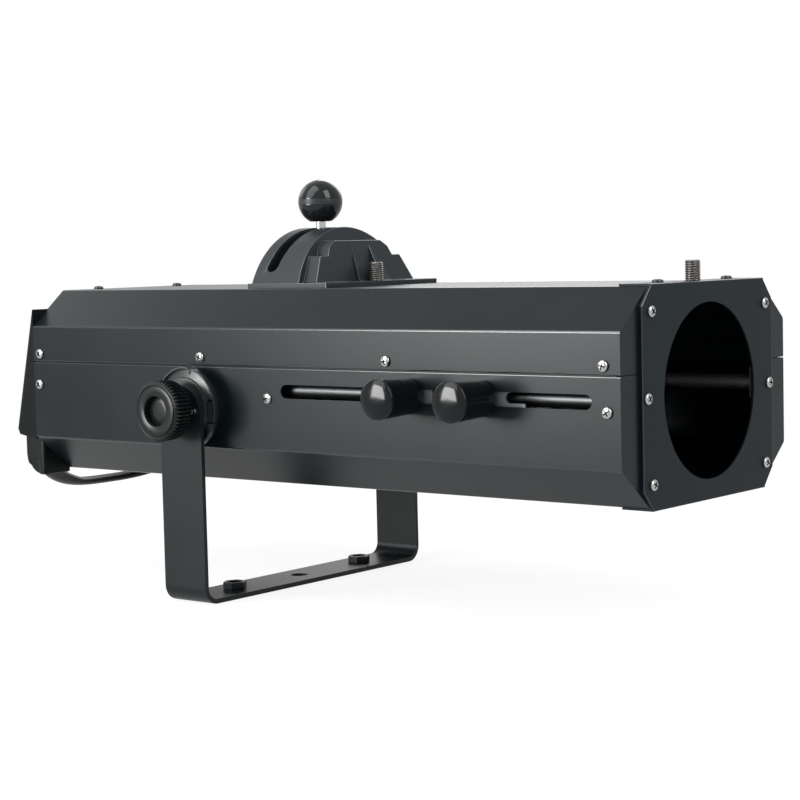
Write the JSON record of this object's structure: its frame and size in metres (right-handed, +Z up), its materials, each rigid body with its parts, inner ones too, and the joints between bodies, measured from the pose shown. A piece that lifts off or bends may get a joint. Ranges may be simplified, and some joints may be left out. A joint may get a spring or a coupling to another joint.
{
  "type": "followspot",
  "caption": "Followspot in a black octagonal sheet-metal body on a tilting U yoke, with zoom and focus knobs in a side slot, an iris lever on top and controls on a leaning rear panel.",
  "frame": {"origin": "centre of the stand bolt's hole, on the underside of the yoke's bar", "axes": "+X along the beam towards the front aperture, +Z up, +Y to the left of someone who looks along the beam"},
  "size_m": [0.6684, 0.3386, 0.3475],
  "materials": {
    "yoke_paint": "fine satin powder coat",
    "disc_plastic": "satin turned nylon",
    "bright_screw": "bright nickel plate",
    "dark_screw": "black oxide",
    "cover_paint": "fine satin powder coat",
    "front_paint": "fine satin powder coat",
    "rear_paint": "fine satin powder coat",
    "inner_steel": "zinc-plated sheet",
    "inner_aluminium": "milled",
    "rod_steel": "ground and plated",
    "dome_plastic": "satin moulding",
    "stud_steel": "plated thread, slightly dulled",
    "handle_plastic": "satin moulding",
    "tilt_knob_plastic": "satin moulding",
    "slide_knob_plastic": "polished moulding",
    "ball_plastic": "polished phenolic ball",
    "lever_steel": "polished",
    "leaf_steel": "blackened spring steel",
    "lens_glass": "polished and coated",
    "filter_glass": "dichroic coating",
    "led_ceramic": "ceramic board with a yellow phosphor disc",
    "motor_metal": "black housing",
    "fan_plastic": "moulded",
    "board_green": "printed circuit board",
    "display_glass": "tinted window",
    "button_plastic": "moulded",
    "socket_plastic": "moulded"
  },
  "bodies": {
    "yoke": {"yoke_strap": "yoke_paint", "yoke_nuts": "yoke_paint", "pivot_discs": "disc_plastic", "disc_screws": "bright_screw"},
    "head": {"top_cover": "cover_paint", "bottom_cover": "cover_paint", "front_plate": "front_paint", "rear_frame": "rear_paint", "rear_panel": "rear_paint", "chassis_tray": "inner_steel", "rod_brackets": "inner_aluminium", "guide_rods": "rod_steel", "dome_cover": "dome_plastic", "accessory_studs": "stud_steel", "rear_handle": "handle_plastic", "pivot_bosses": "inner_aluminium", "friction_rings": "disc_plastic", "tilt_studs": "stud_steel", "iris_plate": "inner_steel", "led_module": "led_ceramic", "heatsink": "inner_aluminium", "condenser_tube": "inner_aluminium", "condenser_lens": "lens_glass", "colour_motor": "motor_metal", "fan_frame": "fan_plastic", "power_supply": "inner_aluminium", "control_board": "board_green", "display_window": "display_glass", "mains_inlet": "socket_plastic", "dmx_input": "socket_plastic", "dmx_output": "socket_plastic", "cover_screws": "bright_screw", "top_screws": "dark_screw", "rear_screws": "dark_screw"},
    "tilt_knob_right": {"tilt_knob_right": "tilt_knob_plastic"},
    "tilt_knob_left": {"tilt_knob_left": "tilt_knob_plastic"},
    "zoom_carriage": {"zoom_carriage": "inner_aluminium", "zoom_lens": "lens_glass"},
    "zoom_knob": {"zoom_knob": "slide_knob_plastic"},
    "focus_carriage": {"focus_carriage": "inner_aluminium", "focus_lens": "lens_glass"},
    "focus_knob": {"focus_knob": "slide_knob_plastic"},
    "iris_lever": {"iris_ring": "inner_steel", "iris_lever": "lever_steel", "ball_knob": "ball_plastic"},
    "colour_wheel": {"colour_wheel": "inner_steel", "colour_filters": "filter_glass"},
    "fan_rotor": {"fan_rotor": "fan_plastic"},
    "dimmer_knob": {"dimmer_knob": "button_plastic"},
    "power_rocker": {"power_rocker": "button_plastic"},
    "iris_leaf_1": {"iris_leaf_1": "leaf_steel"},
    "iris_leaf_2": {"iris_leaf_2": "leaf_steel"},
    "iris_leaf_3": {"iris_leaf_3": "leaf_steel"},
    "iris_leaf_4": {"iris_leaf_4": "leaf_steel"},
    "iris_leaf_5": {"iris_leaf_5": "leaf_steel"},
    "iris_leaf_6": {"iris_leaf_6": "leaf_steel"},
    "button_1": {"button_1": "button_plastic"},
    "button_2": {"button_2": "button_plastic"},
    "button_3": {"button_3": "button_plastic"},
    "button_4": {"button_4": "button_plastic"}
  },
  "joints": [
    {"name": "head_tilt", "type": "hinge", "parent": "yoke", "child": "head", "pos_m": [0, 0, 0.161], "axis": [0, -1, 0], "range_deg": [-50, 50]},
    {"name": "tilt_knob_right_turn", "type": "hinge", "parent": "head", "child": "tilt_knob_right", "pos_m": [0, 0, 0.161], "axis": [0, -1, 0], "range_deg": [0, 270]},
    {"name": "tilt_knob_left_turn", "type": "hinge", "parent": "head", "child": "tilt_knob_left", "pos_m": [0, 0, 0.161], "axis": [0, 1, 0], "range_deg": [0, 270]},
    {"name": "zoom_slide", "type": "slide", "parent": "head", "child": "zoom_carriage", "axis": [1, 0, 0], "range_m": [-0.12, 0.013]},
    {"name": "zoom_knob_turn", "type": "hinge", "parent": "zoom_carriage", "child": "zoom_knob", "pos_m": [0.2235, -0.14, 0.176], "axis": [0, -1, 0], "range_deg": [0, 180]},
    {"name": "focus_slide", "type": "slide", "parent": "head", "child": "focus_carriage", "axis": [1, 0, 0], "range_m": [-0.013, 0.063]},
    {"name": "focus_knob_turn", "type": "hinge", "parent": "focus_carriage", "child": "focus_knob", "pos_m": [0.291, -0.14, 0.176], "axis": [0, -1, 0], "range_deg": [0, 180]},
    {"name": "iris_turn", "type": "hinge", "parent": "head", "child": "iris_lever", "pos_m": [0.036, 0, 0.177], "axis": [1, 0, 0], "range_deg": [-32, 32]},
    {"name": "iris_leaf_1_turn", "type": "hinge", "parent": "head", "child": "iris_leaf_1", "pos_m": [0.04, 0, 0.2265], "axis": [1, 0, 0], "range_deg": [-16.5, 16.5]},
    {"name": "iris_leaf_2_turn", "type": "hinge", "parent": "head", "child": "iris_leaf_2", "pos_m": [0.04, -0.04287, 0.20175], "axis": [1, 0, 0], "range_deg": [-16.5, 16.5]},
    {"name": "iris_leaf_3_turn", "type": "hinge", "parent": "head", "child": "iris_leaf_3", "pos_m": [0.04, -0.04287, 0.15225], "axis": [1, 0, 0], "range_deg": [-16.5, 16.5]},
    {"name": "iris_leaf_4_turn", "type": "hinge", "parent": "head", "child": "iris_leaf_4", "pos_m": [0.04, 0, 0.1275], "axis": [1, 0, 0], "range_deg": [-16.5, 16.5]},
    {"name": "iris_leaf_5_turn", "type": "hinge", "parent": "head", "child": "iris_leaf_5", "pos_m": [0.04, 0.04287, 0.15225], "axis": [1, 0, 0], "range_deg": [-16.5, 16.5]},
    {"name": "iris_leaf_6_turn", "type": "hinge", "parent": "head", "child": "iris_leaf_6", "pos_m": [0.04, 0.04287, 0.20175], "axis": [1, 0, 0], "range_deg": [-16.5, 16.5]},
    {"name": "colour_wheel_turn", "type": "hinge", "parent": "head", "child": "colour_wheel", "pos_m": [0.013, 0.046, 0.177], "axis": [1, 0, 0], "continuous": true},
    {"name": "fan_spin", "type": "hinge", "parent": "head", "child": "fan_rotor", "pos_m": [-0.153, 0, 0.177], "axis": [1, 0, 0], "continuous": true},
    {"name": "button_1_press", "type": "slide", "parent": "head", "child": "button_1", "axis": [0.9748, 0, -0.2231], "range_m": [0, 0.0012], "stiffness_N_per_m": 500, "springref_m": -0.001},
    {"name": "button_2_press", "type": "slide", "parent": "head", "child": "button_2", "axis": [0.9748, 0, -0.2231], "range_m": [0, 0.0012], "stiffness_N_per_m": 500, "springref_m": -0.001},
    {"name": "button_3_press", "type": "slide", "parent": "head", "child": "button_3", "axis": [0.9748, 0, -0.2231], "range_m": [0, 0.0012], "stiffness_N_per_m": 500, "springref_m": -0.001},
    {"name": "button_4_press", "type": "slide", "parent": "head", "child": "button_4", "axis": [0.9748, 0, -0.2231], "range_m": [0, 0.0012], "stiffness_N_per_m": 500, "springref_m": -0.001},
    {"name": "dimmer_turn", "type": "hinge", "parent": "head", "child": "dimmer_knob", "pos_m": [-0.22581, -0.073, 0.15948], "axis": [-0.9748, 0, 0.2231], "range_deg": [-150, 150]},
    {"name": "power_rocker_tip", "type": "hinge", "parent": "head", "child": "power_rocker", "pos_m": [-0.21177, 0.068, 0.18499], "axis": [0, 1, 0], "range_deg": [-20, 0]}
  ],
  "couplings": [
    {"joint": "iris_leaf_1_turn", "follows": "iris_turn", "ratio": 0.5},
    {"joint": "iris_leaf_2_turn", "follows": "iris_turn", "ratio": 0.5},
    {"joint": "iris_leaf_3_turn", "follows": "iris_turn", "ratio": 0.5},
    {"joint": "iris_leaf_4_turn", "follows": "iris_turn", "ratio": 0.5},
    {"joint": "iris_leaf_5_turn", "follows": "iris_turn", "ratio": 0.5},
    {"joint": "iris_leaf_6_turn", "follows": "iris_turn", "ratio": 0.5}
  ]
}
